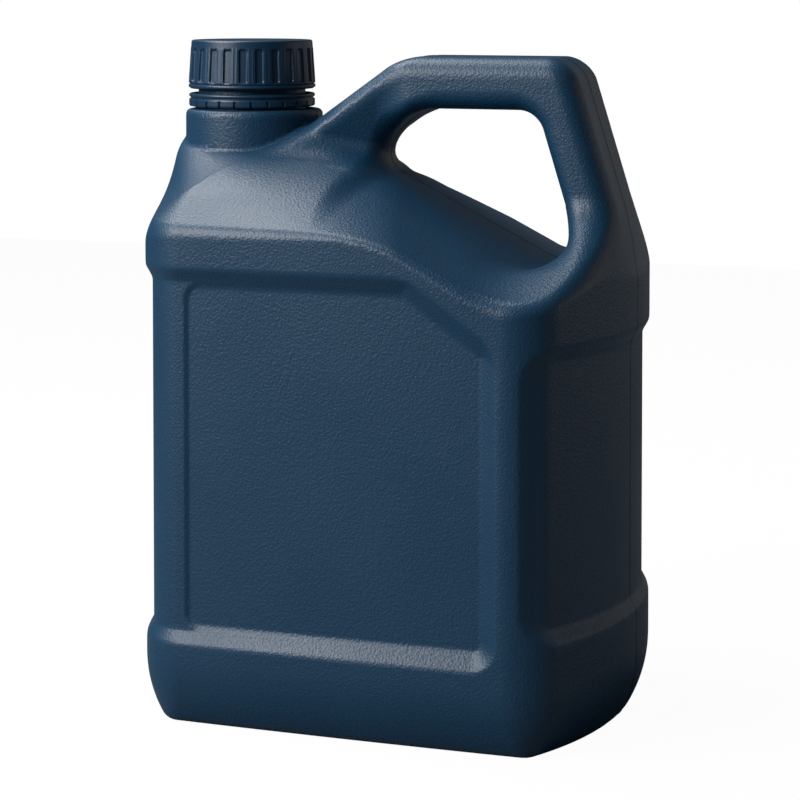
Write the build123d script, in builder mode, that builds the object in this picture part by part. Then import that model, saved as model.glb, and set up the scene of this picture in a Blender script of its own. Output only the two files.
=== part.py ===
"""A motor oil jug: one blow-moulded body with a hollow side handle, closed by a ribbed screw cap.

The origin is at the middle of the footprint. Z is up, X runs from the neck to the handle leg and
the mould's parting plane is Y = 0, so the front and the back are mirror images of each other.
"""

import os
from math import atan, cos, pi, radians, sin, sqrt, tan

from build123d import *

# Body, in millimetres and degrees
body_width = 188.0
body_depth = 142.0
side_radius = 140.0
corner_radius = 22.0
wall = 1.5
heel_height = 26.0
heel_inset = 7.3
heel_height_shares = (0.0, 0.16, 0.38, 0.66, 1.0)
heel_inset_shares = (1.0, 0.66, 0.36, 0.12, 0.0)
foot_rim_width = 8.0
foot_recess_depth = 2.0

# Shoulder, from the crease up to the collar
crease_height = 186.0
shoulder_rise = 31.0
shoulder_radius = 27.4
neck_inset = 31.3
crease_rounding = 4.0
crease_turn_shares = (0.0, 0.35, 0.7, 1.0)

# Roof below the handle, sloping down towards the handle leg
roof_angle = 26.7
roof_rise = 18.2
roof_tilt = 6.0
roof_margin = 0.1

# Handle bar, seen from the front
handle_rise = 63.4
handle_depth = 38.0
handle_rounding = 8.0
grip_thickness = 21.0
leg_thickness = 23.0
ridge_angle = 35.2
ridge_start_drop = 13.33
ridge_corner_radius = 32.0
lean_angle = 17.2
lean_reach = 22.2
lean_corner_radius = 13.0
hole_offset = 44.8
hole_lead_share = 0.484
hole_lead_angle = 41.0
hole_slender_share = 0.43
hole_radius_shares = (0.362, 0.407, 0.362, 0.634, 0.453)

# Foot of the handle leg, where it widens into the body
leg_foot_drop = 38.0
leg_foot_flat = 26.4
leg_foot_margin = 0.6
leg_foot_radius = 20.0
leg_neck_rise = 17.0
leg_neck_left_margin = 1.9
leg_neck_right_margin = 1.16
leg_foot_height_shares = (0.0, 0.25, 0.5, 0.75, 1.0)
leg_foot_width_shares = (1.0, 0.84, 0.48, 0.14, 0.0)

# Scoop beside the handle hole, which narrows towards the parting plane
scoop_rise = 6.0
scoop_lead_share = 0.212
scoop_tip_share = 0.439
scoop_bend_share = 0.312
scoop_right_share = 0.462
scoop_inner_radius_shares = (0.0385, 0.0289)
scoop_outer_radius_shares = (0.173, 0.481)
scoop_inner_depth = 14.0
scoop_margin = 0.8

# Recesses in the faces: the label side wraps round the left, the other one round the right
recess_depth = 2.7
ledge = 4.1
ledge_margin = 0.5
label_bottom = 31.7
label_drop = 14.7
label_right_inset = 34.0
label_corner_width = 33.0
label_corner_drop = 24.3
label_corner_radius = 12.0
label_left_inset = 32.6
label_depth = 1.0
wrap_inset = 31.5
side_inset = 25.0
side_bottom = 41.5
side_drop = 38.5
side_corner_radius = 13.0

# Neck and its finish
collar_radius = 26.2
collar_rise = 10.6
collar_rounding = 1.5
finish_radius = 21.0
bore_radius = 18.3
mouth_rise = 23.6
mouth_rounding = 0.6
bead_depth = 1.3
bead_rise = 3.9
bead_thickness = 1.6

# Thread shared by the neck and the cap
thread_pitch = 4.0
thread_turns = 1.5
thread_depth = 1.2
thread_root = 1.7
thread_crest = 0.8
thread_start_drop = 12.6
thread_clearance = 0.45

# Cap
cap_foot_drop = 15.7
cap_radius = 25.0
cap_side_radius = 24.7
cap_top_radius = 23.6
cap_roof = 2.1
cap_bead = 2.1
cap_rounding = 1.2
rib_count = 24
pocket_width = 3.5
pocket_depth = 0.8
pocket_rounding = 1.4
pocket_bottom_gap = 0.4
pocket_top_gap = 3.2

# Tamper ring
ring_foot_rise = 1.0
ring_radius = 24.75
ring_groove_radius = 24.1
ring_band = 2.9
ring_groove = 0.6
ring_bead = 1.6
ring_clearance = 0.35
notch_width = 1.2
notch_depth = 0.7

# Sealing liner
liner_thickness = 1.2
liner_clearance = 0.35

# One overrun serves every cut
overrun = 5.0
neat = 0.01
almost_round_share = 0.999

half_width = body_width / 2
half_depth = body_depth / 2
handle_half = handle_depth / 2
neck_x = neck_inset - half_width

# Heights, from the crease upwards
shoulder_height = crease_height + shoulder_rise
collar_height = shoulder_height + collar_rise
mouth_height = collar_height + mouth_rise
bead_height = collar_height + bead_rise
thread_start_height = mouth_height - thread_start_drop
cap_foot_height = mouth_height - cap_foot_drop
ring_foot_height = collar_height + ring_foot_rise
handle_height = crease_height + handle_rise
roof_height = crease_height + roof_rise
leg_foot_height = crease_height - leg_foot_drop
leg_neck_height = crease_height + leg_neck_rise
scoop_tip_height = crease_height + scoop_rise
label_top = crease_height - label_drop
label_corner_height = label_top - label_corner_drop
side_top = crease_height - side_drop

# Places along the width
label_right = half_width - label_right_inset
label_corner_x = label_right - label_corner_width
label_left = label_left_inset - half_width
wrap_right = wrap_inset - half_width
side_left = half_width - side_inset
lean_corner_x = half_width - lean_reach
lean_slope = tan(radians(lean_angle))
leg_inner_x = lean_corner_x - leg_thickness / cos(radians(lean_angle))
leg_shift = (handle_height - leg_neck_height) * lean_slope
leg_neck_left = leg_inner_x + leg_shift + leg_neck_left_margin
leg_neck_right = lean_corner_x + leg_shift - leg_neck_right_margin
leg_foot_right = half_width - leg_foot_margin
leg_foot_half = half_depth - leg_foot_margin
leg_foot_end = leg_foot_right - side_radius + sqrt(side_radius**2 - leg_foot_half**2)
leg_foot_left = leg_foot_end - leg_foot_flat
ridge_start_x = neck_x + shoulder_radius / 2
ridge_start_height = collar_height - ridge_start_drop
ridge_slope = tan(radians(ridge_angle))
ridge_corner_x = ridge_start_x + (handle_height - ridge_start_height) / ridge_slope

# The hole, between the roof and the grip, and the scoop beside it
hole_left_x = ridge_start_x + hole_offset
hole_width = leg_inner_x - hole_left_x
roof_slope = tan(radians(roof_angle))
hole_top = handle_height - grip_thickness
hole_left_height = roof_height - hole_left_x * roof_slope
hole_side = hole_top - hole_left_height
hole_lead_height = hole_left_height + hole_side * hole_lead_share
hole_corner = min(hole_side, hole_width * hole_slender_share)
hole_radii = [share * hole_corner for share in hole_radius_shares]
scoop_tip_x = hole_left_x - hole_width * scoop_tip_share
scoop_bend_x = hole_left_x + hole_width * scoop_bend_share
scoop_right_shift = hole_width * scoop_right_share
scoop_lead_height = hole_left_height + hole_side * scoop_lead_share
scoop_inner_radii = [share * hole_width for share in scoop_inner_radius_shares]
scoop_outer_radii = [share * hole_width for share in scoop_outer_radius_shares]

cap_bore = finish_radius + thread_depth + thread_clearance
cap_roof_height = mouth_height + liner_thickness
cap_top_height = cap_roof_height + cap_roof
shoulder_slope = (shoulder_height - crease_height) / (half_depth - shoulder_radius)


def roof_at(x):
    """Height of the roof's line at x."""
    return roof_height - x * roof_slope


def plan_outline(height, inset):
    """The body seen from above: straight front and back, bowed sides and rounded corners."""
    reach = side_radius - inset
    depth = half_depth - inset
    side_end = half_width - side_radius + sqrt(reach**2 - depth**2)
    with BuildSketch(Plane.XY.offset(height)) as outline:
        with BuildLine():
            Line((-side_end, -depth), (side_end, -depth))
            ThreePointArc((side_end, -depth), (half_width - inset, 0), (side_end, depth))
            Line((side_end, depth), (-side_end, depth))
            ThreePointArc((-side_end, depth), (inset - half_width, 0), (-side_end, -depth))
        make_face()
        fillet(outline.vertices(), corner_radius - inset)
    return outline.sketch


def leg_section(height, left, right, depth, left_corner, right_corner):
    """One level section of the leg's foot: straight on three sides and bowed like the body's side."""
    side_end = right - side_radius + sqrt(side_radius**2 - depth**2)
    with BuildSketch(Plane.XY.offset(height)) as outline:
        with BuildLine():
            Polyline((side_end, depth), (left, depth), (left, -depth), (side_end, -depth))
            ThreePointArc((side_end, -depth), (right, 0), (side_end, depth))
        make_face()
        fillet(outline.vertices().group_by(Axis.X)[0], left_corner)
        fillet(outline.vertices().group_by(Axis.X)[-1], right_corner)
    return outline.sketch


def collar_outline(height, inset):
    """The top of the shoulder, a circle drawn as four arcs to match the plan's corners."""
    side = 2 * (shoulder_radius - inset)
    with BuildSketch(Plane.XY.offset(height)) as outline:
        with Locations((neck_x, 0)):
            RectangleRounded(side, side, side / 2 * almost_round_share)
    return outline.sketch


def hole_outline(inset):
    """The handle hole from the front, grown by inset."""
    corner_z = (roof_at(leg_inner_x + handle_height * lean_slope)) / (1 - roof_slope * lean_slope)
    corner_x = leg_inner_x + (handle_height - corner_z) * lean_slope
    lead_x = hole_left_x + (hole_top - hole_lead_height) / tan(radians(hole_lead_angle))
    points = (
        (hole_left_x, hole_left_height),
        (corner_x, corner_z),
        (leg_inner_x + grip_thickness * lean_slope, hole_top),
        (lead_x, hole_top),
        (hole_left_x, hole_lead_height),
    )
    with BuildSketch(Plane.XZ) as outline:
        with BuildLine():
            FilletPolyline(*points, radius=hole_radii, close=True)
        make_face()
        if inset:
            offset(amount=inset)
    return outline.sketch


def handle_outline(inset):
    """The handle bar from the front, with its hole, shrunk by inset."""
    lean_end = handle_height - (half_width - lean_corner_x) / lean_slope
    points = (
        (ridge_start_x, crease_height),
        (ridge_start_x, ridge_start_height),
        (ridge_corner_x, handle_height),
        (lean_corner_x, handle_height),
        (half_width, lean_end),
        (half_width, leg_foot_height),
        (leg_inner_x, leg_foot_height),
    )
    radii = (0, 0, ridge_corner_radius, lean_corner_radius, 0, 0, 0)
    with BuildSketch(Plane.XZ) as outline:
        with BuildLine():
            FilletPolyline(*points, radius=radii, close=True)
        make_face()
        add(hole_outline(0), mode=Mode.SUBTRACT)
        if inset:
            offset(amount=-inset)
    return outline.sketch


def roof_cutter(inset):
    """Everything above the roof, which falls away by roof_tilt to a rounded crease at each side."""
    angle = radians(roof_angle)
    start = (neck_x, 0, roof_at(neck_x) - inset / cos(angle))
    section = Plane(origin=start, x_dir=(0, 1, 0), z_dir=(cos(angle), 0, -sin(angle)))
    side = half_depth + overrun
    fall = roof_tilt * cos(angle)
    edge = half_depth - inset + roof_margin
    with BuildPart() as cutter:
        with BuildSketch(section):
            Rectangle(2 * side, 2 * half_depth)
            with BuildSketch(mode=Mode.PRIVATE) as roof:
                with BuildLine():
                    ThreePointArc((-edge, -fall), (0, 0), (edge, -fall))
                    Polyline((edge, -fall), (edge, -body_depth), (-edge, -body_depth), (-edge, -fall))
                make_face()
                fillet(roof.vertices().group_by(Axis.Y)[-1], crease_rounding - inset)
            add(roof.sketch, mode=Mode.SUBTRACT)
        extrude(amount=2 * body_width)
    return cutter.part


def scoop_outline(depth, tip, bend, right_shift, floor_rise, radii):
    """One section of the scoop: a wedge that opens to the right, between the handle and the roof."""
    top = hole_top - scoop_margin
    right = leg_inner_x - scoop_margin - right_shift
    low_right = right + (handle_height - tip[1]) * lean_slope
    points = (
        tip,
        bend,
        (low_right, roof_at(low_right) + floor_rise),
        (right + grip_thickness * lean_slope, top),
        (tip[0] + (top - tip[1]) / tan(radians(hole_lead_angle)), top),
    )
    with BuildSketch(Plane.XZ.offset(depth)) as outline:
        with BuildLine():
            FilletPolyline(*points, radius=(*radii, 0, 0, 0), close=True)
        make_face()
    return outline.sketch


def scoop_cutter(inset):
    """The wedge-shaped space beside the hole, in front of the parting plane, grown by inset."""
    inner_tip = (hole_left_x - inset, scoop_lead_height)
    inner_bend = (hole_left_x + scoop_margin, hole_left_height - inset)
    outer_tip = (scoop_tip_x - inset, scoop_tip_height - inset)
    outer_bend = (scoop_bend_x, scoop_tip_height - inset)
    inner_depth = scoop_inner_depth - inset
    outer_depth = half_depth + overrun
    with BuildPart() as scoop:
        inner = scoop_outline(inner_depth, inner_tip, inner_bend, 0, scoop_margin, scoop_inner_radii)
        outer = scoop_outline(
            outer_depth, outer_tip, outer_bend, scoop_right_shift, scoop_margin, scoop_outer_radii
        )
        loft(sections=[inner, outer], ruled=True)
    return scoop.part


def body_form(inset):
    """The jug's outer form without its neck, moved inwards by inset all round."""
    shoulder_drop = inset * (sqrt(1 + shoulder_slope**2) - shoulder_slope)
    crease = crease_height - shoulder_drop
    turn = pi / 2 - atan(shoulder_slope)
    rounding = crease_rounding - inset
    crease_start = crease - rounding * tan(turn / 2)

    # Heel, sides, crease and shoulder, cut off by the roof
    with BuildPart() as core:
        heel = zip(heel_height_shares, heel_inset_shares)
        sections = [
            plan_outline(max(heel_height * rise, inset), heel_inset * step + inset)
            for rise, step in heel
        ]
        loft(sections=sections)
        extrude(to_extrude=plan_outline(heel_height, inset), amount=crease_start - heel_height)
        rim = [
            plan_outline(
                crease_start + rounding * sin(turn * share), inset + rounding * (1 - cos(turn * share))
            )
            for share in crease_turn_shares
        ]
        loft(sections=rim)
        shoulder = [rim[-1], collar_outline(shoulder_height - shoulder_drop, inset)]
        loft(sections=shoulder, ruled=True)
        add(roof_cutter(inset), mode=Mode.SUBTRACT)

    # Foot of the handle leg, which runs down into the body just inside its sides
    with BuildPart() as leg_foot:
        rise = leg_neck_height - leg_foot_height
        spread = leg_foot_half - handle_half
        sections = []
        for height_share, width_share in zip(leg_foot_height_shares, leg_foot_width_shares):
            left = leg_neck_left - (leg_neck_left - leg_foot_left) * width_share
            right = leg_neck_right + (leg_foot_right - leg_neck_right) * width_share
            depth = handle_half + spread * width_share
            corner = handle_rounding + (leg_foot_radius - handle_rounding) * width_share
            height = leg_foot_height + rise * height_share
            radii = (handle_rounding - inset, corner - inset)
            sections.append(leg_section(height, left + inset, right - inset, depth - inset, *radii))
        loft(sections=sections)

    # Handle bar
    with BuildPart() as bar:
        extrude(to_extrude=handle_outline(inset), amount=handle_half - inset, both=True)
        long_edges = bar.faces().filter_by(Axis.Y).edges()
        fillet(long_edges, handle_rounding - inset)
        footprint = plan_outline(0, inset + leg_foot_margin)
        extrude(to_extrude=footprint, amount=handle_height, mode=Mode.INTERSECT)

    scoop = scoop_cutter(inset)
    with BuildPart() as form:
        add(core.part)
        add(leg_foot.part)
        add(bar.part)
        extrude(to_extrude=hole_outline(inset), amount=body_depth, both=True, mode=Mode.SUBTRACT)
        add(scoop, mode=Mode.SUBTRACT)
        add(mirror(scoop, about=Plane.XZ, mode=Mode.PRIVATE), mode=Mode.SUBTRACT)
    return form.part


def ledge_core(inset, bottom, top):
    """What stays behind a recess that runs round the body: the sunk core and its sloping ledges."""
    floor = recess_depth + inset
    rim = inset - ledge_margin * recess_depth / ledge
    with BuildPart() as core:
        lower = [plan_outline(bottom - ledge_margin, rim), plan_outline(bottom + ledge, floor)]
        loft(sections=lower, ruled=True)
        extrude(to_extrude=lower[1], amount=top - bottom - 2 * ledge)
        upper = [plan_outline(top - ledge, floor), plan_outline(top + ledge_margin, rim)]
        loft(sections=upper, ruled=True)
    return core.part


def label_outline(depth, shrink, left):
    """The label recess from the front: a rectangle whose corner below the handle is cut away."""
    with BuildSketch(Plane.XZ.offset(depth)) as outline:
        with BuildLine():
            Polyline(
                (left, label_bottom),
                (label_right, label_bottom),
                (label_right, label_corner_height),
                (label_corner_x, label_top),
                (left, label_top),
                close=True,
            )
        make_face()
        fillet(outline.vertices(), label_corner_radius)
        offset(amount=-shrink)
    return outline.sketch


def label_cutter(inset):
    """The label recess in the front face, with sloping edges, and the shallower panel inside it."""
    face = half_depth - inset
    floor = face - recess_depth
    panel = floor - label_depth
    slope = ledge / recess_depth
    wrap_left = wrap_right - 2 * label_corner_radius
    with BuildPart() as cutter:
        rim = [
            label_outline(face, 0, wrap_left),
            label_outline(floor, ledge, wrap_left),
        ]
        loft(sections=rim, ruled=True)
        extrude(to_extrude=rim[0], amount=overrun)
        step = [
            label_outline(floor, ledge, label_left - ledge),
            label_outline(panel, ledge + label_depth * slope, label_left - ledge),
        ]
        loft(sections=step, ruled=True)
    return cutter.part


def foot_cutter(inset):
    """The shallow recess under the base that leaves the jug standing on its rim."""
    rim = heel_inset + foot_rim_width
    with BuildPart() as cutter:
        mouth = plan_outline(inset, rim - inset)
        loft(sections=[mouth, plan_outline(foot_recess_depth + inset, rim + foot_recess_depth - inset)])
        extrude(to_extrude=mouth, amount=-overrun)
    return cutter.part


def recessed_form(inset):
    """The body form with its recesses, moved inwards by inset all round."""
    form = body_form(inset)
    foot = foot_cutter(inset)
    label = label_cutter(inset)
    wrap_core = ledge_core(inset, label_bottom, label_top)
    side_core = ledge_core(inset, side_bottom, side_top)

    # Recess that carries the label's depth round the left side
    with BuildPart() as wrap:
        with BuildSketch(Plane.XY.offset(label_bottom - ledge_margin)):
            with Locations((wrap_right, 0)):
                Rectangle(body_width, body_depth + overrun, align=(Align.MAX, Align.CENTER))
        extrude(amount=label_top - label_bottom + 2 * ledge_margin)
        add(wrap_core, mode=Mode.SUBTRACT)

    # Recess round the right side
    window_height = side_top - side_bottom + 2 * ledge_margin
    with BuildPart() as side:
        with BuildSketch(Plane.XZ) as window:
            with Locations((side_left - inset, (side_bottom + side_top) / 2)):
                Rectangle(body_width, window_height, align=(Align.MIN, Align.CENTER))
            fillet(window.vertices(), side_corner_radius)
        extrude(amount=half_depth + overrun, both=True)
        add(side_core, mode=Mode.SUBTRACT)

    with BuildPart() as recessed:
        add(form)
        add(foot, mode=Mode.SUBTRACT)
        add(label, mode=Mode.SUBTRACT)
        add(mirror(label, about=Plane.XZ, mode=Mode.PRIVATE), mode=Mode.SUBTRACT)
        add(wrap.part, mode=Mode.SUBTRACT)
        add(side.part, mode=Mode.SUBTRACT)
    return recessed.part


def thread_ridge(radius, start, outward):
    """A helical ridge on the neck's axis that stands outward (1) or inward (-1) from a cylinder."""
    seat = radius - outward * thread_clearance
    with BuildPart() as ridge:
        with BuildLine() as path:
            Helix(thread_pitch, thread_pitch * thread_turns, seat, center=(neck_x, 0, start))
        with BuildSketch(Plane(origin=path.line @ 0, x_dir=(outward, 0, 0), z_dir=path.line % 0)):
            with BuildLine():
                depth = thread_depth + thread_clearance
                Polyline(
                    (0, -thread_root / 2),
                    (depth, -thread_crest / 2),
                    (depth, thread_crest / 2),
                    (0, thread_root / 2),
                    close=True,
                )
            make_face()
        sweep(path=path.line, is_frenet=True)
    return ridge.part


def axis_profile(points):
    """A closed outline in the plane through the neck's axis, from (radius, height) pairs."""
    with BuildSketch(Plane.XZ) as profile:
        with BuildLine():
            Polyline(*[(neck_x + radius, height) for radius, height in points], close=True)
        make_face()
    return profile.sketch


neck_axis = Axis((neck_x, 0, 0), (0, 0, 1))

# Bottle: the moulded body, its neck, its hollow and its bore
shell = recessed_form(0)
hollow = recessed_form(wall)
neck_thread = thread_ridge(finish_radius, thread_start_height, 1)
neck_points = (
    (0, crease_height),
    (collar_radius, crease_height),
    (collar_radius, collar_height),
    (finish_radius, collar_height),
    (finish_radius, bead_height),
    (finish_radius + bead_depth, bead_height),
    (finish_radius, bead_height + bead_thickness),
    (finish_radius, mouth_height),
    (0, mouth_height),
)
bore_points = (
    (0, crease_height),
    (collar_radius - wall, crease_height),
    (collar_radius - wall, collar_height - wall),
    (bore_radius, collar_height - wall),
    (bore_radius, mouth_height + overrun),
    (0, mouth_height + overrun),
)
with BuildPart() as bottle:
    add(shell)
    revolve(axis_profile(neck_points), neck_axis)
    collar_edge = bottle.edges().filter_by(GeomType.CIRCLE).filter_by(
        lambda edge: abs(edge.radius - collar_radius) < neat and edge.center().Z > collar_height - neat
    )
    fillet(collar_edge, collar_rounding)
    add(neck_thread)
    add(hollow, mode=Mode.SUBTRACT)
    revolve(axis_profile(bore_points), neck_axis, mode=Mode.SUBTRACT)
    mouth_edges = bottle.edges().filter_by(GeomType.CIRCLE).filter_by(
        lambda edge: abs(edge.center().Z - mouth_height) < neat
    )
    fillet(mouth_edges, mouth_rounding)
bottle.part.label = "bottle"

# Cap: a tapered skirt with pockets between its ribs, a foot bead and an inside thread
cap_thread = thread_ridge(cap_bore, thread_start_height + thread_pitch / 2, -1)
cap_points = (
    (0, cap_top_height),
    (cap_top_radius, cap_top_height),
    (cap_side_radius, cap_foot_height + cap_bead),
    (cap_radius, cap_foot_height + cap_bead),
    (cap_radius, cap_foot_height),
    (cap_bore, cap_foot_height),
    (cap_bore, cap_roof_height),
    (0, cap_roof_height),
)
side_rise = cap_top_height - cap_foot_height - cap_bead
pocket_height = side_rise - pocket_bottom_gap - pocket_top_gap
pocket_share = (pocket_bottom_gap + pocket_height / 2) / side_rise
pocket_middle = Vector(
    cap_side_radius + (cap_top_radius - cap_side_radius) * pocket_share,
    0,
    cap_foot_height + cap_bead + side_rise * pocket_share,
)
pocket_face = Plane(
    origin=pocket_middle, x_dir=(0, 1, 0), z_dir=(side_rise, 0, cap_side_radius - cap_top_radius)
)
with BuildPart() as pocket:
    with BuildSketch(pocket_face.offset(-pocket_depth)):
        RectangleRounded(pocket_width, pocket_height, pocket_rounding)
    extrude(amount=overrun)

with BuildPart() as cap:
    revolve(axis_profile(cap_points), neck_axis)
    fillet(cap.edges().group_by(Axis.Z)[-1], cap_rounding)
    add(cap_thread)
    with Locations((neck_x, 0, 0)):
        with PolarLocations(0, rib_count):
            add(pocket.part, mode=Mode.SUBTRACT)
cap.part.label = "cap"

# Tamper ring: a bead above a notched band, held on the neck below its bead
lip_radius = finish_radius + ring_clearance
ring_bore = finish_radius + bead_depth + ring_clearance
lip_height = bead_height - ring_clearance
ring_top = ring_foot_height + ring_band + ring_groove + ring_bead
ring_points = (
    (lip_radius, ring_foot_height),
    (ring_radius, ring_foot_height),
    (ring_radius, ring_foot_height + ring_band),
    (ring_groove_radius, ring_foot_height + ring_band),
    (ring_groove_radius, ring_foot_height + ring_band + ring_groove),
    (ring_radius, ring_foot_height + ring_band + ring_groove),
    (ring_radius, ring_top),
    (ring_bore, ring_top),
    (ring_bore, lip_height),
    (lip_radius, lip_height),
)
with BuildPart() as notch:
    with Locations((ring_radius - notch_depth, 0, ring_foot_height)):
        notch_align = (Align.MIN, Align.CENTER, Align.MIN)
        Box(overrun, notch_width, ring_band - notch_depth, align=notch_align)

with BuildPart() as tamper_ring:
    revolve(axis_profile(ring_points), neck_axis)
    with Locations((neck_x, 0, 0)):
        with PolarLocations(0, rib_count):
            add(notch.part, mode=Mode.SUBTRACT)
tamper_ring.part.label = "tamper_ring"

# Sealing liner: a soft disc between the cap's roof and the mouth
with BuildPart() as sealing_liner:
    with BuildSketch(Plane.XY.offset(mouth_height)):
        with Locations((neck_x, 0)):
            Circle(cap_bore - liner_clearance)
    extrude(amount=liner_thickness)
sealing_liner.part.label = "sealing_liner"

os.makedirs("parts", exist_ok=True)
export_step(bottle.part, "parts/bottle.step")
export_step(cap.part, "parts/cap.step")
export_step(tamper_ring.part, "parts/tamper_ring.step")
export_step(sealing_liner.part, "parts/sealing_liner.step")
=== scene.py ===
# %% [markdown]
# A motor oil jug: a blown body with a hollow side handle, closed by a ribbed screw cap. The
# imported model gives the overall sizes, so the first step loads it as a fixed frame. What follows
# dresses it: each piece is a surface worked out with numpy, which rides on one of its bodies.

# %% Frame
from math import atan, cos, pi, radians, tan

import bpy
import numpy as np
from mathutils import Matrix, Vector


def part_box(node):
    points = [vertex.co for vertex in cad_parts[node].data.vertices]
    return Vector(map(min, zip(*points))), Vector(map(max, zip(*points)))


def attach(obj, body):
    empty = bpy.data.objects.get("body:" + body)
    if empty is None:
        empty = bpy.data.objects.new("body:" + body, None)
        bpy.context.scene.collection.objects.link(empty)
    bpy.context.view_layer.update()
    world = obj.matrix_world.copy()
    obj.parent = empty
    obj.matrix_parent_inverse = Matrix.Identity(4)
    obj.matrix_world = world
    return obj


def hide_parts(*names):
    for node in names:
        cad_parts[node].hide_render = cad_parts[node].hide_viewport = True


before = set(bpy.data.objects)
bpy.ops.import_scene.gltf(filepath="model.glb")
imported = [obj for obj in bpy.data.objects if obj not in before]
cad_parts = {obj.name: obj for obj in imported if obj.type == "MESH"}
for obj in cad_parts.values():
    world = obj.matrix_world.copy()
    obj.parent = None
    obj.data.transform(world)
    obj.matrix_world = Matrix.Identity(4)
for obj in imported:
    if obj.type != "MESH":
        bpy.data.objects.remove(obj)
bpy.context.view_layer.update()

# %% [markdown]
# Sizes are written in millimetres, as on the jug's drawing, and become metres when a mesh is made.
# The overall ones are read from the frame, so the looks follow the solids.

# %% Driving sizes
MM = 0.001
bottle_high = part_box("bottle")[1]
cap_low, cap_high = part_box("cap")
ring_low, ring_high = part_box("tamper_ring")
half_width = bottle_high.x / MM
half_depth = bottle_high.y / MM
neck_x = (cap_low.x + cap_high.x) / 2 / MM
cap_top = cap_high.z / MM
cap_foot = cap_low.z / MM
cap_radius = (cap_high.x - cap_low.x) / 2 / MM
ring_top = ring_high.z / MM
ring_foot = ring_low.z / MM
ring_radius = (ring_high.x - ring_low.x) / 2 / MM
print("cap radius", round(cap_radius, 2), "neck at x", round(neck_x, 2))

# %% [markdown]
# The body is blown against a mould, so all its forms melt into one another: there is no joint
# between the handle and the shoulder, only a soft fillet. A grid of two parameters can't carry the
# handle's hole, so the body is written as one field in space: negative inside, zero on the skin.
# The larger of two fields is what both hold and the smaller is what either holds, and a rounded
# larger or smaller gives the fillet in between.

# %% Rounded joins of fields
def round_max(a, b, radius):
    """What lies in both fields: near the edge, the length of the two overlaps less the radius."""
    overlap = np.hypot(np.maximum(a + radius, 0), np.maximum(b + radius, 0))
    return np.minimum(np.maximum(a, b), -radius) + overlap


def round_min(a, b, radius):
    """What lies in either field, with a fillet where they meet."""
    return -round_max(-a, -b, radius)


def edge(radius, turn):
    """The rounding that gives an edge this radius where its two faces turn by so many degrees."""
    return radius * (1 - cos(radians(turn)))


bevel_soft_share = 0.12


def bevel(value, width):
    """A straight step from 0 at value 0 to 1 at value width, with only its ends rounded."""
    t = value / width
    return (1 + np.hypot(t, bevel_soft_share) - np.hypot(t - 1, bevel_soft_share)) / 2


def ramp(value, width):
    """A smooth step from 0 at value 0 to 1 at value width: three squares less two cubes."""
    t = np.clip(value / width, 0, 1)
    return t * t * (3 - 2 * t)


# %% [markdown]
# From above, the body is a rectangle with bowed ends, a faintly crowned front and round corners.
# A boolean cut could sink the recesses for the label and for the side, but it would leave sharp
# edges. Here they are insets of the outline, each bounded by straight lines in the front view, and
# the depth grows over a sloping ledge. The heel is drawn in the same way, near the foot.

# %% Outline, heel and recesses
side_radius = 140.0
front_crown = 1.5
corner_radius, corner_turn = 22.0, 59.5
heel_height, heel_inset, heel_power = 26.0, 7.3, 2.2
recess_depth, ledge = 2.7, 4.6
label_bottom, label_top, label_right = 31.7, 171.3, 60.8
label_cut = ((27.0, label_top), (label_right, 147.0))
label_cut_round, label_corner_round, label_foot_round = 3, 6, 10
panel_left, panel_depth, panel_step, panel_round = -61.4, 1.0, 2.0, 7
side_left, side_bottom, side_top, side_round = 69.0, 41.5, 147.5, 12


def outline_field(x, y, softer=0.0):
    """The plan: an arc at each end, joined by round corners to a front that bows a little."""
    end = np.hypot(np.abs(x) + side_radius - half_width, y) - side_radius
    front = y - half_depth + front_crown * (x / half_width) ** 2
    return round_max(end, front, edge(corner_radius, corner_turn) + softer)


def cut_line(x, z):
    """Distance above the slanting line that cuts the label's corner below the handle."""
    (x0, z0), (x1, z1) = label_cut
    length = np.hypot(x1 - x0, z1 - z0)
    return ((x - x0) * (z0 - z1) + (z - z0) * (x1 - x0)) / length


def inset_field(x, z):
    """How far the skin is sunk at each place of the front view: heel, label and side recess."""
    heel = heel_inset * (1 - np.clip(z / heel_height, 0, 1)) ** heel_power
    label = round_max(z - label_top, cut_line(x, z), label_cut_round)
    label = round_max(label, x - label_right, label_corner_round)
    label = round_max(label, label_bottom - z, label_foot_round)
    panel = round_max(label + ledge, panel_left - x, panel_round)
    side = round_max(side_left - x, np.maximum(z - side_top, side_bottom - z), side_round)
    sunk = recess_depth * (bevel(-label, ledge) + bevel(-side, ledge))
    return heel + sunk + panel_depth * bevel(-panel, panel_step)


# %% [markdown]
# The shoulder runs straight from the outline at the crease to a circle round the neck, as a loft
# between two sections does. Its corners grow rounder on the way up, because an inward step of a
# round corner would leave it sharp.

# %% Shoulder
crease_height, shoulder_height, shoulder_radius = 186.0, 221.5, 27.4
shoulder_softness = 17.0


def shoulder_field(x, y, z):
    """The outline's field and the neck circle's, mixed in proportion to the height."""
    tall = shoulder_height - crease_height
    rise = (z - crease_height) / tall
    plan = outline_field(x, y, shoulder_softness * np.clip(rise, 0, 1))
    circle = np.hypot(x - neck_x, y) - shoulder_radius
    slope = (circle - plan) / tall
    cone = ((1 - rise) * plan + rise * circle) / np.hypot(1, slope)
    return np.maximum(cone, z - shoulder_height)


# %% [markdown]
# The handle is a bar that rises from the neck, runs level over the hole and leans down to the
# body, where its foot spreads to the full depth in an S-shaped flare. Its root falls back from the
# ridge, so that it runs into the scoop beside the hole.

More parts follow.
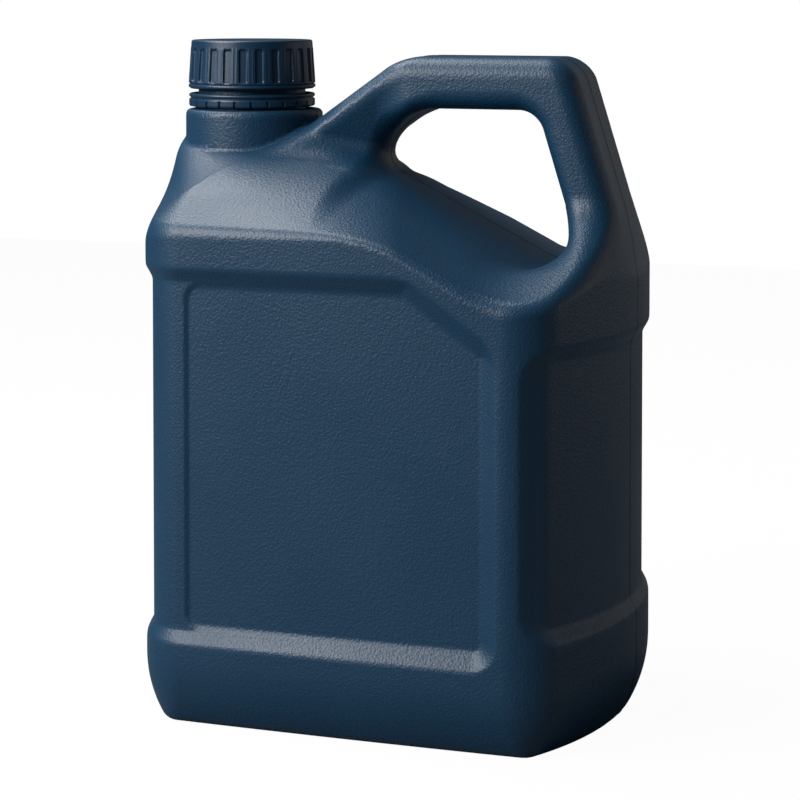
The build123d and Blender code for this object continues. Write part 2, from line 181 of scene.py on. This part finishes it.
# %% Handle
handle_height, handle_half, handle_rounding = 249.0, 19.0, 8.0
grip, leg = 19.8, 18.6
ridge_angle, ridge_x, ridge_radius = 35.2, 4.6, 26.0
ridge_slope = tan(radians(ridge_angle))
ridge_lip, root_taper, root_end, root_fade = 4.0, 0.46, -6.0, 16.0
lean_angle, lean_x, lean_radius = 17.2, 71.8, 13.0
lean_slope, lean_turn = tan(radians(lean_angle)), 90 - lean_angle
leg_inner_x = lean_x - leg / cos(radians(lean_angle))
foot_low, foot_high, foot_spread = 146.0, 199.0, 54.0


def handle_field(x, y, z):
    """The front outline cut to the bar's depth with round edges, or to the foot's, which widens
    by half a cosine wave."""
    rising = (z - handle_height - (x - ridge_x) * ridge_slope) * cos(atan(ridge_slope))
    leaning = (x - lean_x - (handle_height - z) * lean_slope) * cos(radians(lean_angle))
    outer = round_max(rising, z - handle_height, edge(ridge_radius, ridge_angle))
    outer = round_max(outer, leaning, edge(lean_radius, lean_turn))
    taper = root_taper * (1 - ramp(x - root_end, root_fade))
    face = (y - handle_half + taper * np.maximum(-rising - ridge_lip, 0)) / np.hypot(1, taper)
    bar = round_max(outer, face, handle_rounding)

    foot_tall = foot_high - foot_low
    turn = np.clip((z - foot_low) / foot_tall, 0, 1) * pi
    share = (1 + np.cos(turn)) / 2
    slope = foot_spread * np.sin(turn) * pi / 2 / foot_tall
    spread = (y - handle_half - foot_spread * share) / np.hypot(1, slope)
    foot = round_max(outer, spread, handle_rounding + (corner_radius - handle_rounding) * share)
    return np.minimum(bar, np.maximum(foot, z - foot_high))


# %% [markdown]
# One hollow makes the handle's hole and the scoop beside it, so that the two can't drift apart.
# Under it lies the roof, which slopes towards the leg, is level over the middle and falls away to
# the front and the back. On the left it ends at the underside of the handle's root and at a wall.

# %% Hole, scoop and roof
roof_slope, roof_height = tan(radians(26.7)), 204.2
roof_fall, roof_level, roof_bend, roof_raise = 0.215, 8.0, 10.0, 5.0
scoop_height, scoop_fall, scoop_start, scoop_round = 211.0, 0.306, 14.0, 10
hole_left, hole_top = -4.2, handle_height - grip
root_angle, root_height = 41.0, 217.0
wall_start, wall_back = 15.0, 0.1
hole_root_radius, hole_leg_radius, hole_wall_radius, hole_leg_turn = 22, 10, 14, 72
floor_round, floor_thin, thin_start, thin_width = 5, 1.5, 12, 12
leg_start, leg_width, leg_round, leg_spread, spread_start = 20, 30, 11, 14, 15


def roof_field(x, y, z):
    """Below the roof, and below the scoop's floor, which slopes down to the front."""
    fall = roof_fall * (np.hypot(np.maximum(y - roof_level, 0), roof_bend) - roof_bend)
    roof = (z + x * roof_slope - roof_height + fall) * cos(atan(roof_slope))
    floor = (z - scoop_height + scoop_fall * (y - scoop_start)) * cos(atan(scoop_fall))
    return round_max(roof, floor, scoop_round)


def hollow_field(x, y, z):
    """Under the grip, left of the leg, right of the root, and above the roof."""
    along = x - hole_left
    root = (z - root_height - along * tan(radians(root_angle))) * cos(radians(root_angle))
    inner = (x - leg_inner_x - (handle_height - z) * lean_slope) * cos(radians(lean_angle))
    hollow = round_max(z - hole_top, root, edge(hole_root_radius, root_angle))
    hollow = round_max(hollow, inner, edge(hole_leg_radius, hole_leg_turn))
    wall = hole_left - wall_back * np.maximum(y - wall_start, 0) - x
    hollow = round_max(hollow, wall, edge(hole_wall_radius, 90 - root_angle))
    thin = floor_thin * ramp(y - thin_start, thin_width)
    wide = leg_round + leg_spread * ramp(y - spread_start, leg_width)
    rounding = floor_round - thin + ramp(x - leg_start, leg_width) * wide
    return round_max(hollow, -roof_field(x, y, z), rounding)


# %% [markdown]
# All the forms meet in one field. The mould's two halves part at y = 0, where a fine line of flash
# stands on the skin, and the base is dished so that the jug stands on its rim.

# %% Whole body
collar_radius, collar_height, collar_shift = 26.9, 227.6, 1.0
collar_round, collar_fillet = 2.2, 1.0
core_round, handle_blend, hollow_rounding = 6, 11.0, 8.0
crease_sharp, crease_soft = 2.4, 5.0
crease_right, crease_right_width, crease_left, crease_left_width = 15, 50, -60, 30
foot_rim, foot_dish, dish_width, foot_round = 14.0, 2.0, 5, 2.5
seam_height, seam_width = 0.2, 0.32


def jug_field(x, y, z):
    """Shoulder and handle, cut by the hollow, held in the outline, with the collar on top."""
    seam = seam_height * np.exp(-((y / seam_width) ** 2))
    y = np.abs(y)
    plan = outline_field(x, y)
    core = round_max(shoulder_field(x, y, z), roof_field(x, y, z - roof_raise), core_round)
    top = round_min(core, handle_field(x, y, z), handle_blend)
    top = round_max(top, -hollow_field(x, y, z), hollow_rounding)
    right = ramp(x - crease_right, crease_right_width)
    left = ramp(crease_left - x, crease_left_width)
    crease = crease_sharp + (crease_soft - crease_sharp) * np.maximum(right, left)
    jug = round_max(top, plan + inset_field(x, z), crease)
    dish = foot_dish * ramp(-plan - foot_rim, dish_width)
    jug = round_max(jug, dish - z, foot_round)
    collar = np.hypot(x - neck_x - collar_shift, y) - collar_radius
    collar = round_max(collar, z - collar_height, collar_round)
    collar = np.maximum(collar, crease_height - z)
    return round_min(jug, collar, collar_fillet) - seam


# %% [markdown]
# The field becomes a mesh on a grid of cells, finer where the forms are small. Each cell that the
# skin passes through gets one point, pulled onto the skin along the field's slope, and each grid
# line that the skin crosses gets one quad between its four cells. All cells are done at once. The
# slope also gives the normals, which shade the fillets more smoothly than the faces would.

# %% From field to mesh
slope_step, pull_rounds, pull_most, least_slope = 0.02, 6, 0.8, 0.05
crisp_angle = 50


def slope_of(field, points):
    """The field's value and its slope at each point, from small steps along x, y and z."""
    value = field(*points.T)
    slopes = []
    for axis in range(3):
        shift = np.zeros(3)
        shift[axis] = slope_step
        change = field(*(points + shift).T) - field(*(points - shift).T)
        slopes.append(change / (2 * slope_step))
    return value, np.stack(slopes, 1)


def net_points(values, axes):
    """A point in each cell that the skin passes through: the mean of where it crosses edges."""
    shape = np.array(values.shape) - 1
    total = np.zeros((*shape, 3))
    count = np.zeros(shape)
    for axis in range(3):
        first = np.moveaxis(values, axis, 0)
        low, high = first[:-1], first[1:]
        crossed = (low < 0) != (high < 0)
        share = np.where(crossed, low / np.where(crossed, low - high, 1), 0)
        start = axes[axis][:-1, None, None]
        length = np.diff(axes[axis])[:, None, None]
        others = [axes[other] for other in range(3) if other != axis]
        place = [start + share * length, others[0][None, :, None], others[1][None, None, :]]
        order = [axis] + [other for other in range(3) if other != axis]
        for row in (0, 1):
            for column in (0, 1):
                rows = slice(row, crossed.shape[1] - 1 + row)
                columns = slice(column, crossed.shape[2] - 1 + column)
                part = crossed[:, rows, columns].astype(float)
                count += np.moveaxis(part, 0, axis)
                for slot, component in enumerate(order):
                    piece = np.broadcast_to(place[slot], crossed.shape)[:, rows, columns]
                    total[..., component] += np.moveaxis(part * piece, 0, axis)
    used = count > 0
    return total[used] / count[used][:, None], used


def net_quads(values, used):
    """One quad round each grid line that the skin crosses, turned so that it faces outwards."""
    number = -np.ones(used.shape, int)
    number[used] = np.arange(used.sum())
    quads = []
    for axis in range(3):
        first = np.moveaxis(values, axis, 0)
        cells = np.moveaxis(number, axis, 0)
        low, high = first[:-1, 1:-1, 1:-1] < 0, first[1:, 1:-1, 1:-1] < 0
        near, far = cells[:, :-1], cells[:, 1:]
        around = np.stack([near[..., :-1], far[..., :-1], far[..., 1:], near[..., 1:]], -1)
        ahead = around[low & ~high]
        behind = around[~low & high]
        if axis == 1:
            ahead, behind = ahead[:, ::-1], behind[:, ::-1]
        quads += [ahead, behind[:, ::-1]]
    return np.concatenate(quads)


def field_mesh(field, axes):
    """Points, quads and outward normals of a field's skin on a grid."""
    values = field(axes[0][:, None, None], axes[1][None, :, None], axes[2][None, None, :])
    points, used = net_points(values, axes)
    quads = net_quads(values, used)
    for _ in range(pull_rounds):
        value, slope = slope_of(field, points)
        step = value[:, None] * slope / np.maximum((slope**2).sum(1), least_slope)[:, None]
        points -= np.clip(step, -pull_most, pull_most)
    slope = slope_of(field, points)[1]
    return points, quads, slope / np.linalg.norm(slope, axis=1)[:, None]


def new_piece(name, points, faces, body, replaced=None, normals=None):
    """A mesh at the origin from points in millimetres, riding on its body. Without normals, edges
    that turn by more than the crisp angle stay sharp."""
    mesh = bpy.data.meshes.new(name)
    mesh.from_pydata((points * MM).tolist(), [], faces)
    mesh.polygons.foreach_set("use_smooth", np.ones(len(mesh.polygons), bool))
    if normals is None:
        mesh.set_sharp_from_angle(angle=radians(crisp_angle))
    else:
        mesh.normals_split_custom_set_from_vertices(normals.tolist())
    piece = bpy.data.objects.new(name, mesh)
    bpy.context.scene.collection.objects.link(piece)
    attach(piece, body)
    if replaced:
        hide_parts(replaced)
    print(name, len(mesh.vertices), "points", len(mesh.polygons), "faces")
    return piece


def steps(*stops):
    """Grid lines between the stops, given as place, spacing, place, spacing and so on."""
    lines = []
    for start, spacing, stop in zip(stops[::2], stops[1::2], stops[2::2]):
        count = max(1, round((stop - start) / spacing))
        lines.append(np.linspace(start, stop, count, endpoint=False))
    return np.append(np.concatenate(lines), stops[-1])


# %% [markdown]
# The grid's lines are 0.9 to 1.9 mm apart where the forms are small, about two to five pixels,
# and 2.8 mm apart along the plain height of the label. Close lines near y = 0 hold the flash.

# %% Body
grid_x = steps(-96.5, 1.7, -66, 0.9, -55, 1.8, 50, 1.2, 76, 1.7, 96.5)
half_y = steps(0.25, 0.45, 0.7, 1.75, 73.5)
grid_y = np.concatenate([-half_y[::-1], half_y])
grid_z = steps(-1.3, 1.9, 27, 1.3, 48, 2.8, 140, 1.35, 192, 1.6, 252)
body_points, body_quads, body_normals = field_mesh(jug_field, (grid_x, grid_y, grid_z))
print("body height", body_points[:, 2].max().round(2), "width", np.ptp(body_points[:, 0]).round(2))
jug = new_piece(
    "jug_body", body_points, body_quads.tolist(), "bottle", "bottle", body_normals
)

# %% [markdown]
# The neck, the cap and its tamper ring are turned forms. Each is a profile carried round the
# neck's axis, on a grid of angle by place along the profile. The thread, the pockets and the
# notches are a change of the radius with the angle and the height. Points that fall together, at a
# pole or where a profile closes, are joined.

# %% Turned pieces
def turned(profile, turns, shape):
    """Carry rows of radius and height round the axis, with the radius moved by the shape."""
    profile = np.asarray(profile, float)
    angle = np.arange(turns) * 2 * pi / turns
    radius = np.repeat(profile[None, :, 0], turns, 0)
    height = np.repeat(profile[None, :, 1], turns, 0)
    radius = radius + shape(angle[:, None], height, radius)
    x = neck_x + radius * np.cos(angle)[:, None]
    y = radius * np.sin(angle)[:, None]
    points = np.stack([x, y, height], -1).reshape(-1, 3)
    here = np.arange(turns * len(profile)).reshape(turns, -1)
    after = np.roll(here, -1, 0)
    faces = np.stack([here[:, 1:], after[:, 1:], after[:, :-1], here[:, :-1]], -1).reshape(-1, 4)
    return joined(points, faces)


def joined(points, faces):
    """One point for all that lie at the same place, and triangles where a face loses a side."""
    keys = np.round(points, 5)
    _, first, place = np.unique(keys, axis=0, return_index=True, return_inverse=True)
    faces = place.reshape(-1)[faces]
    kept = faces != np.roll(faces, 1, 1)
    quads = faces[kept.all(1)]
    three = kept.sum(1) == 3
    triangles = faces[three][kept[three]].reshape(-1, 3)
    return points[first], quads.tolist() + triangles.tolist()


def smooth_profile(stops, spacing):
    """Points along straight runs from stop to stop, no further apart than spacing."""
    stops = np.asarray(stops, float)
    rows = [stops[:1]]
    for start, stop in zip(stops[:-1], stops[1:]):
        count = max(1, int(np.ceil(np.linalg.norm(stop - start) / spacing)))
        rows.append(start + (stop - start) * np.linspace(0, 1, count + 1)[1:, None])
    return np.concatenate(rows)


def arc(centre, radius, start, stop, count):
    """Rows of (radius, height) along an arc, by its angles in degrees."""
    angle = np.radians(np.linspace(start, stop, count))
    across, up = centre
    return np.stack([across + radius * np.cos(angle), up + radius * np.sin(angle)], 1).tolist()


# %% [markdown]
# The neck stands on the collar, inside the cap, and shows when the cap is off. It has the bead
# that holds the ring, one and a half turns of thread and an open mouth. The thread is a ridge of
# the radius that climbs with the angle, so it needs no sweep along a helix.

# %% Neck
finish_radius, bore_radius, mouth_height, mouth_round = 21.0, 18.3, 251.2, 0.6
bead_radius, bead_height, neck_turns = 22.3, 231.5, 240
thread_start, thread_pitch, thread_turns, thread_depth = 238.6, 4.0, 1.5, 1.2
thread_half, thread_flank, thread_fade = 0.95, 0.6, 0.06


def thread_shape(angle, height, radius):
    """A helical ridge: it rises by the pitch in each turn and fades at its ends."""
    wound = (height - thread_start) / thread_pitch - angle / (2 * pi)
    nearest = np.clip(np.round(wound), 0, 1)
    off = np.abs(wound - nearest) * thread_pitch
    run = nearest + angle / (2 * pi)
    fade = ramp(run, thread_fade) * ramp(thread_turns - run, thread_fade)
    ridge = thread_depth * ramp(thread_half - off, thread_flank) * fade
    return np.where(radius > bore_radius + 1, ridge, 0)


def neck_profile():
    """Up the outside from the collar, over the bead and the mouth, and down the bore."""
    neck_foot = collar_height - 1
    low = smooth_profile([(finish_radius, neck_foot), (finish_radius, bead_height)], 1.5)
    bead = [(bead_radius, bead_height + 0.1), (bead_radius, bead_height + 0.4)]
    bead += [(finish_radius, bead_height + 1.6)]
    rim = mouth_height - mouth_round
    wall = smooth_profile([(finish_radius, bead_height + 1.7), (finish_radius, rim)], 0.35)
    mouth = [(finish_radius - mouth_round, mouth_height)]
    mouth += [(bore_radius + mouth_round, mouth_height), (bore_radius, rim)]
    bore = smooth_profile([(bore_radius, mouth_height - 1.2), (bore_radius, neck_foot)], 3.0)
    return low.tolist() + bead + wall.tolist() + mouth + bore.tolist()


neck_points, neck_faces = turned(neck_profile()[::-1], neck_turns, thread_shape)
neck = new_piece("jug_neck", neck_points, neck_faces, "bottle")

# %% [markdown]
# The cap is moulded with 24 tall pockets in its skirt, which give the fingers a grip. Each pocket
# has steep walls, a flat floor and round corners, and the rib between two pockets carries two fine
# lines. Both are functions of the angle and the height, so one turned grid makes the whole cap.

# %% Cap
rib_count, steps_per_rib = 24, 30
pocket_half, pocket_depth, pocket_round, pocket_wall = 1.75, 0.85, 0.9, 0.35
pocket_bottom, pocket_top = cap_foot + 2.6, cap_top - 3.3
rib_line, rib_line_place, rib_line_half, rib_line_fade = 0.16, 0.72, 0.22, 0.6
cap_side, cap_upper, cap_bead, cap_edge = 24.8, 23.8, 2.1, 0.9
cap_inner, cap_roof = cap_radius - 2.2, cap_top - 2.1
top_dish, top_rim_inner, top_rim_outer = 0.25, cap_upper - 4.0, cap_upper - 2.6
bead_half, bead_turn, skirt_spacing = 0.75, 78, 0.42


def rib_shape(angle, height, radius):
    """Sink the pockets and raise the fine lines, by the distance in millimetres round the skirt."""
    pitch = 2 * pi / rib_count
    along = ((angle / pitch + 0.5) % 1 - 0.5) * pitch * radius
    middle = (pocket_top + pocket_bottom) / 2
    tall = np.abs(height - middle) - (pocket_top - pocket_bottom) / 2
    inside = round_max(np.abs(along) - pocket_half, tall, pocket_round)
    pocket = pocket_depth * ramp(-inside, pocket_wall)
    rib = np.abs(pitch * radius / 2 - np.abs(along))
    line = rib_line * ramp(rib_line_half - np.abs(rib - rib_line_place), rib_line_half)
    line = line * ramp(rib_line_fade - tall, rib_line_fade)
    return np.where(radius > cap_upper - 1, line - pocket, 0)


def cap_profile():
    """From the top's middle over the edge, down the skirt and the foot bead, to the inside."""
    edge_low, bead_top = cap_top - cap_edge, cap_foot + cap_bead
    dish = cap_top - top_dish
    rim = [(0.0, dish), (top_rim_inner, dish), (top_rim_outer, cap_top)]
    rim += arc((cap_upper - cap_edge, edge_low), cap_edge, 90, 3, 7)
    stops = [(cap_upper, edge_low - 0.1), (cap_side, bead_top + 0.15)]
    skirt = smooth_profile(stops, skirt_spacing)
    middle = (cap_radius - bead_half, cap_foot + cap_bead / 2)
    bead = arc(middle, bead_half, bead_turn, -bead_turn, 7)
    foot = [(cap_radius - 0.9, cap_foot), (cap_inner, cap_foot)]
    roof = [(cap_inner, cap_roof), (0.0, cap_roof)]
    return rim + skirt.tolist() + bead + foot + roof


cap_points, cap_faces = turned(cap_profile(), rib_count * steps_per_rib, rib_shape)
cap = new_piece("screw_cap", cap_points, cap_faces, "cap", "cap")

# %% [markdown]
# The tamper ring stays on the neck when the cap is first turned. It is a bead above a band, and
# the band is notched all the way round, with the same count as the cap's pockets.

# %% Tamper ring
band_height, groove_height, groove_radius = 2.9, 0.6, 24.1
notch_half, notch_depth, notch_wall = 0.55, 0.75, 0.25
notch_drop, notch_end = 0.5, 0.3
ring_inner, band_spacing = 22.7, 0.3


def notch_shape(angle, height, radius):
    """Cut the upright notches into the band's outside."""
    pitch = 2 * pi / rib_count
    along = np.abs((angle / pitch) % 1 - 0.5) * pitch * radius
    below = ring_foot + band_height - notch_drop - height
    low = ramp(notch_half - along, notch_wall) * ramp(below, notch_end)
    return np.where(radius > ring_radius - 0.5, -notch_depth * low, 0)


def ring_profile():
    """From the top over the bead, the groove and the notched band, and back up the bore."""
    band_top = ring_foot + band_height
    bead_low = band_top + groove_height
    middle = (bead_low + ring_top) / 2
    half = (ring_top - bead_low) / 2
    bead = arc((ring_radius - half, middle), half, 85, -85, 9)
    stops = [(ring_radius - 0.15, band_top), (ring_radius, band_top - 0.3)]
    stops += [(ring_radius, ring_foot + 0.5)]
    top = [(ring_inner, ring_top)]
    groove = [(groove_radius, bead_low), (groove_radius, band_top)]
    band = smooth_profile(stops, band_spacing).tolist()
    foot = [(ring_radius - 0.4, ring_foot), (ring_inner, ring_foot)]
    return top + bead + groove + band + foot + top


ring_points, ring_faces = turned(ring_profile(), rib_count * steps_per_rib, notch_shape)
ring = new_piece("break_ring", ring_points, ring_faces, "bottle", "tamper_ring")

# %% [markdown]
# Materials are written as node trees. Colours are given as on a screen, so one function turns them
# to the linear values that the renderer counts in, and another adds any node with its settings.

# %% Colours and nodes
def linear(code):
    """An sRGB hex colour as linear red, green, blue and alpha."""
    channels = [int(code[i : i + 2], 16) / 255 for i in (1, 3, 5)]
    return [c / 12.92 if c <= 0.04045 else ((c + 0.055) / 1.055) ** 2.4 for c in channels] + [1.0]


def add_node(tree, kind, settings=None, **sockets):
    """Add a node, set its own settings, and fill its inputs with values or nodes' outputs."""
    node = tree.nodes.new(kind)
    for name, value in (settings or {}).items():
        setattr(node, name, value)
    for name, value in sockets.items():
        socket = node.inputs[name.replace("_", " ")]
        if isinstance(value, bpy.types.NodeSocket):
            tree.links.new(value, socket)
        else:
            socket.default_value = value
    return node


def new_material(name):
    """An empty node material."""
    material = bpy.data.materials.new(name)
    material.use_nodes = True
    material.node_tree.nodes.clear()
    return material, material.node_tree


def shaded(colour, share):
    """The same colour, with this share of its light."""
    return [channel * share for channel in colour[:3]] + [1.0]


# %% [markdown]
# Both plastics are polyethylene, coloured right through. The mould of the body was etched, so the
# skin has a fine leather grain, which spreads its gloss. The grain is a bump of pebbles with a
# finer noise on them, in millimetres on the object, so that it keeps its size in every view. A slow
# noise changes colour and gloss a little, as the wall's thickness does. Along the parting line,
# where the two halves of the mould met, a thin dark line is painted into the colour. It is painted
# shade that stands for the shadow beside the fine ridge of flash. The cap's mould was polished, and
# its grain is faint.

# %% Moulded plastic
noise_share, noise_height_share, slow_mm = 1.5, 0.8, 45
# The painted shade of the parting line is darkest over this share of its half width, where it keeps
# this share of the colour's light.
gloss_change, seam_shade_core_share, seam_shade_brightness = 0.03, 0.4, 0.15


def grain_bump(tree, place, grain_mm, grain_height):
    """Rounded cells this far apart, plus a share of a noise, as the height of a bump."""
    cells = add_node(
        tree, "ShaderNodeTexVoronoi", {"feature": "SMOOTH_F1"}, Vector=place,
        Scale=1 / (grain_mm * MM), Smoothness=0.6, Randomness=1.0,
    )
    cloud = add_node(
        tree, "ShaderNodeTexNoise", Vector=place,
        Scale=1 / (noise_share * grain_mm * MM), Detail=3.0, Roughness=0.6,
    )
    height = add_node(tree, "ShaderNodeMath", {"operation": "MULTIPLY_ADD"})
    tree.links.new(cloud.outputs["Fac"], height.inputs[0])
    height.inputs[1].default_value = noise_height_share
    tree.links.new(cells.outputs["Distance"], height.inputs[2])
    return add_node(
        tree, "ShaderNodeBump", Strength=1.0, Distance=grain_height * MM, Height=height.outputs[0]
    )


def mixed(tree, share, first, second):
    """A mix of two colours, each a value or a node's output."""
    mix = add_node(tree, "ShaderNodeMix", {"data_type": "RGBA"}, Factor=share)
    for name, colour in (("A", first), ("B", second)):
        if isinstance(colour, bpy.types.NodeSocket):
            tree.links.new(colour, mix.inputs[name])
        else:
            mix.inputs[name].default_value = colour
    return mix.outputs["Result"]


def painted_seam_shade(tree, place, half_width_mm):
    """Painted shade along the parting line: one on the plane between the mould's halves, falling to
    nothing at the line's edge.
    """
    across = add_node(tree, "ShaderNodeSeparateXYZ", Vector=place).outputs["Y"]
    away = add_node(tree, "ShaderNodeMath", {"operation": "ABSOLUTE"})
    tree.links.new(across, away.inputs[0])
    line = add_node(
        tree, "ShaderNodeMapRange", {"interpolation_type": "SMOOTHSTEP"}, Value=away.outputs[0],
        From_Min=half_width_mm * seam_shade_core_share * MM, From_Max=half_width_mm * MM,
        To_Min=1.0, To_Max=0.0,
    )
    return line.outputs["Result"]


def moulded_plastic(name, code, roughness, grain_mm, grain_height, variation, seam_shade_mm=0.0):
    """Polyethylene with its grain, a slow change of colour and gloss, and painted shade along its
    parting line.
    """
    material, tree = new_material(name)
    place = add_node(tree, "ShaderNodeTexCoord").outputs["Object"]
    bump = grain_bump(tree, place, grain_mm, grain_height)
    slow = add_node(tree, "ShaderNodeTexNoise", Vector=place, Scale=1 / (slow_mm * MM), Detail=2.0)
    base = linear(code)
    dark, light = shaded(base, 1 - variation), shaded(base, 1 + variation)
    colour = mixed(tree, slow.outputs["Fac"], dark, light)
    # Painted shade: along the parting line the colour is darkened to a small share of its light.
    if seam_shade_mm:
        line = painted_seam_shade(tree, place, seam_shade_mm)
        colour = mixed(tree, line, colour, shaded(base, seam_shade_brightness))
    gloss = add_node(
        tree, "ShaderNodeMapRange", Value=slow.outputs["Fac"], From_Min=0.3, From_Max=0.7,
        To_Min=roughness - gloss_change, To_Max=roughness + gloss_change,
    )
    shader = add_node(
        tree, "ShaderNodeBsdfPrincipled", Base_Color=colour, Roughness=gloss.outputs["Result"],
        IOR=1.51, Normal=bump.outputs["Normal"],
    )
    output = add_node(tree, "ShaderNodeOutputMaterial")
    tree.links.new(shader.outputs["BSDF"], output.inputs["Surface"])
    print(name, "grain", grain_mm, "mm apart")
    return material


# %% [markdown]
# The body's grain is that of an etched mould, 0.85 mm from pebble to pebble. The cap is glossier.
# The liner is a pale foam that shows only from below, inside the cap.

# %% Materials of the pieces
# The body's parting line carries painted shade up to 0.6 mm to each side of y = 0.
body_plastic = moulded_plastic(
    "polyethylene_blown_grained", "#0A3550", roughness=0.43, grain_mm=0.85, grain_height=0.11,
    variation=0.05, seam_shade_mm=0.6,
)
cap_plastic = moulded_plastic(
    "polyethylene_injected_satin", "#0B2F48", roughness=0.36, grain_mm=0.6, grain_height=0.012,
    variation=0.04,
)
liner_foam = moulded_plastic(
    "polyethylene_foam", "#E6E6E0", roughness=0.7, grain_mm=0.5, grain_height=0.02, variation=0.02
)
for piece in (jug, neck):
    piece.data.materials.append(body_plastic)
for piece in (cap, ring):
    piece.data.materials.append(cap_plastic)
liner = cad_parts["sealing_liner"]
liner.data.materials.clear()
liner.data.materials.append(liner_foam)

# %% [markdown]
# The jug stands on a flat white sheet. The camera sees the sheet almost wholly by its own light, so
# that it comes out white and carries a faint shadow. Other rays meet a mid grey: the jug has no
# metal or glass that would show the background, and its dark sides owe their depth to dark
# reflections, which a sheet that is white to every ray would wash out.

# %% Floor
floor_size, own_light_share = 3.0, 0.97


def camera_split(tree, unseen, seen):
    """One shader for what the camera sees and another for every other ray."""
    rays = add_node(tree, "ShaderNodeLightPath")
    mix = add_node(tree, "ShaderNodeMixShader", Fac=rays.outputs["Is Camera Ray"])
    tree.links.new(unseen.outputs[0], mix.inputs[1])
    tree.links.new(seen.outputs[0], mix.inputs[2])
    return mix.outputs[0]


def white_paper():
    """White paper, seen by the camera mostly by its own light, so that its shadow is faint."""
    material, tree = new_material("studio_paper")
    paper = add_node(tree, "ShaderNodeBsdfDiffuse", Color=linear("#FFFFFF"))
    dim = add_node(tree, "ShaderNodeBsdfDiffuse", Color=linear("#6E7276"))
    glow = add_node(tree, "ShaderNodeEmission", Color=linear("#FFFFFF"), Strength=1.0)
    seen = add_node(tree, "ShaderNodeMixShader", Fac=own_light_share)
    tree.links.new(paper.outputs[0], seen.inputs[1])
    tree.links.new(glow.outputs[0], seen.inputs[2])
    add_node(tree, "ShaderNodeOutputMaterial", Surface=camera_split(tree, dim, seen))
    return material


bpy.ops.mesh.primitive_plane_add(size=floor_size)
floor = bpy.context.object
floor.name = "studio_floor"
floor.data.materials.append(white_paper())
print("floor", floor_size, "m wide")

# %% [markdown]
# A large soft box stands to the left in front, one overhead to the left lights the shoulder, and
# two wide dim ones on the right give the dark side its even grey. The world is a dark grey that
# fills the shadows, and white to the camera.

# %% Lights
lamp_target = (0.0, 0.0, 0.15)
lamps = (
    ("key_left", (-0.62, -0.78, 0.72), 0.7, 16.5),
    ("overhead", (-0.46, 0.12, 1.05), 0.6, 9.0),
    ("back_right", (0.75, 1.25, 0.25), 1.6, 1.7),
    ("side_right", (1.35, 0.45, 0.25), 0.9, 1.2),
)
world_strength = 0.06


def soft_box(name, place, side, watts):
    """A square lamp that faces the jug."""
    lamp = bpy.data.lights.new(name, "AREA")
    lamp.size = side
    lamp.energy = watts
    holder = bpy.data.objects.new(name, lamp)
    holder.location = place
    facing = Vector(lamp_target) - Vector(place)
    holder.rotation_euler = facing.to_track_quat("-Z", "Y").to_euler()
    bpy.context.scene.collection.objects.link(holder)
    print(name, side, "m wide", watts, "W")


for lamp in lamps:
    soft_box(*lamp)

world = bpy.data.worlds.new("studio")
world.use_nodes = True
sky = world.node_tree
sky.nodes.clear()
fill = add_node(sky, "ShaderNodeBackground", Color=linear("#FFFFFF"), Strength=world_strength)
white = add_node(sky, "ShaderNodeBackground", Color=linear("#FFFFFF"), Strength=1.0)
add_node(sky, "ShaderNodeOutputWorld", Surface=camera_split(sky, fill, white))
bpy.context.scene.world = world

# %% [markdown]
# The camera stands where the photograph was taken from: about 20 degrees round to the right and
# a little above the jug's top. It looks nearly level, which keeps the upright edges parallel as in
# the photograph, so its picture is shifted down to bring the jug into the frame.

# %% Camera
image_side, focal_pixels, centre_row = 800, 2516.4, 87.4
camera_turn, camera_pitch = 20.03, 2.39
camera_place = (0.3313, -0.9107, 0.2770)
sensor_mm = 36.0
lens_data = bpy.data.cameras.new("photo_camera")
lens_data.sensor_width = sensor_mm
lens_data.lens = sensor_mm * focal_pixels / image_side
lens_data.shift_y = (centre_row - image_side / 2) / image_side
lens_data.clip_start = 0.01
camera = bpy.data.objects.new("photo_camera", lens_data)
camera.location = camera_place
camera.rotation_euler = (radians(90 - camera_pitch), 0, radians(camera_turn))
bpy.context.scene.collection.objects.link(camera)
bpy.context.scene.camera = camera
bpy.context.scene.view_settings.view_transform = "Standard"
print("lens", round(lens_data.lens, 1), "mm")
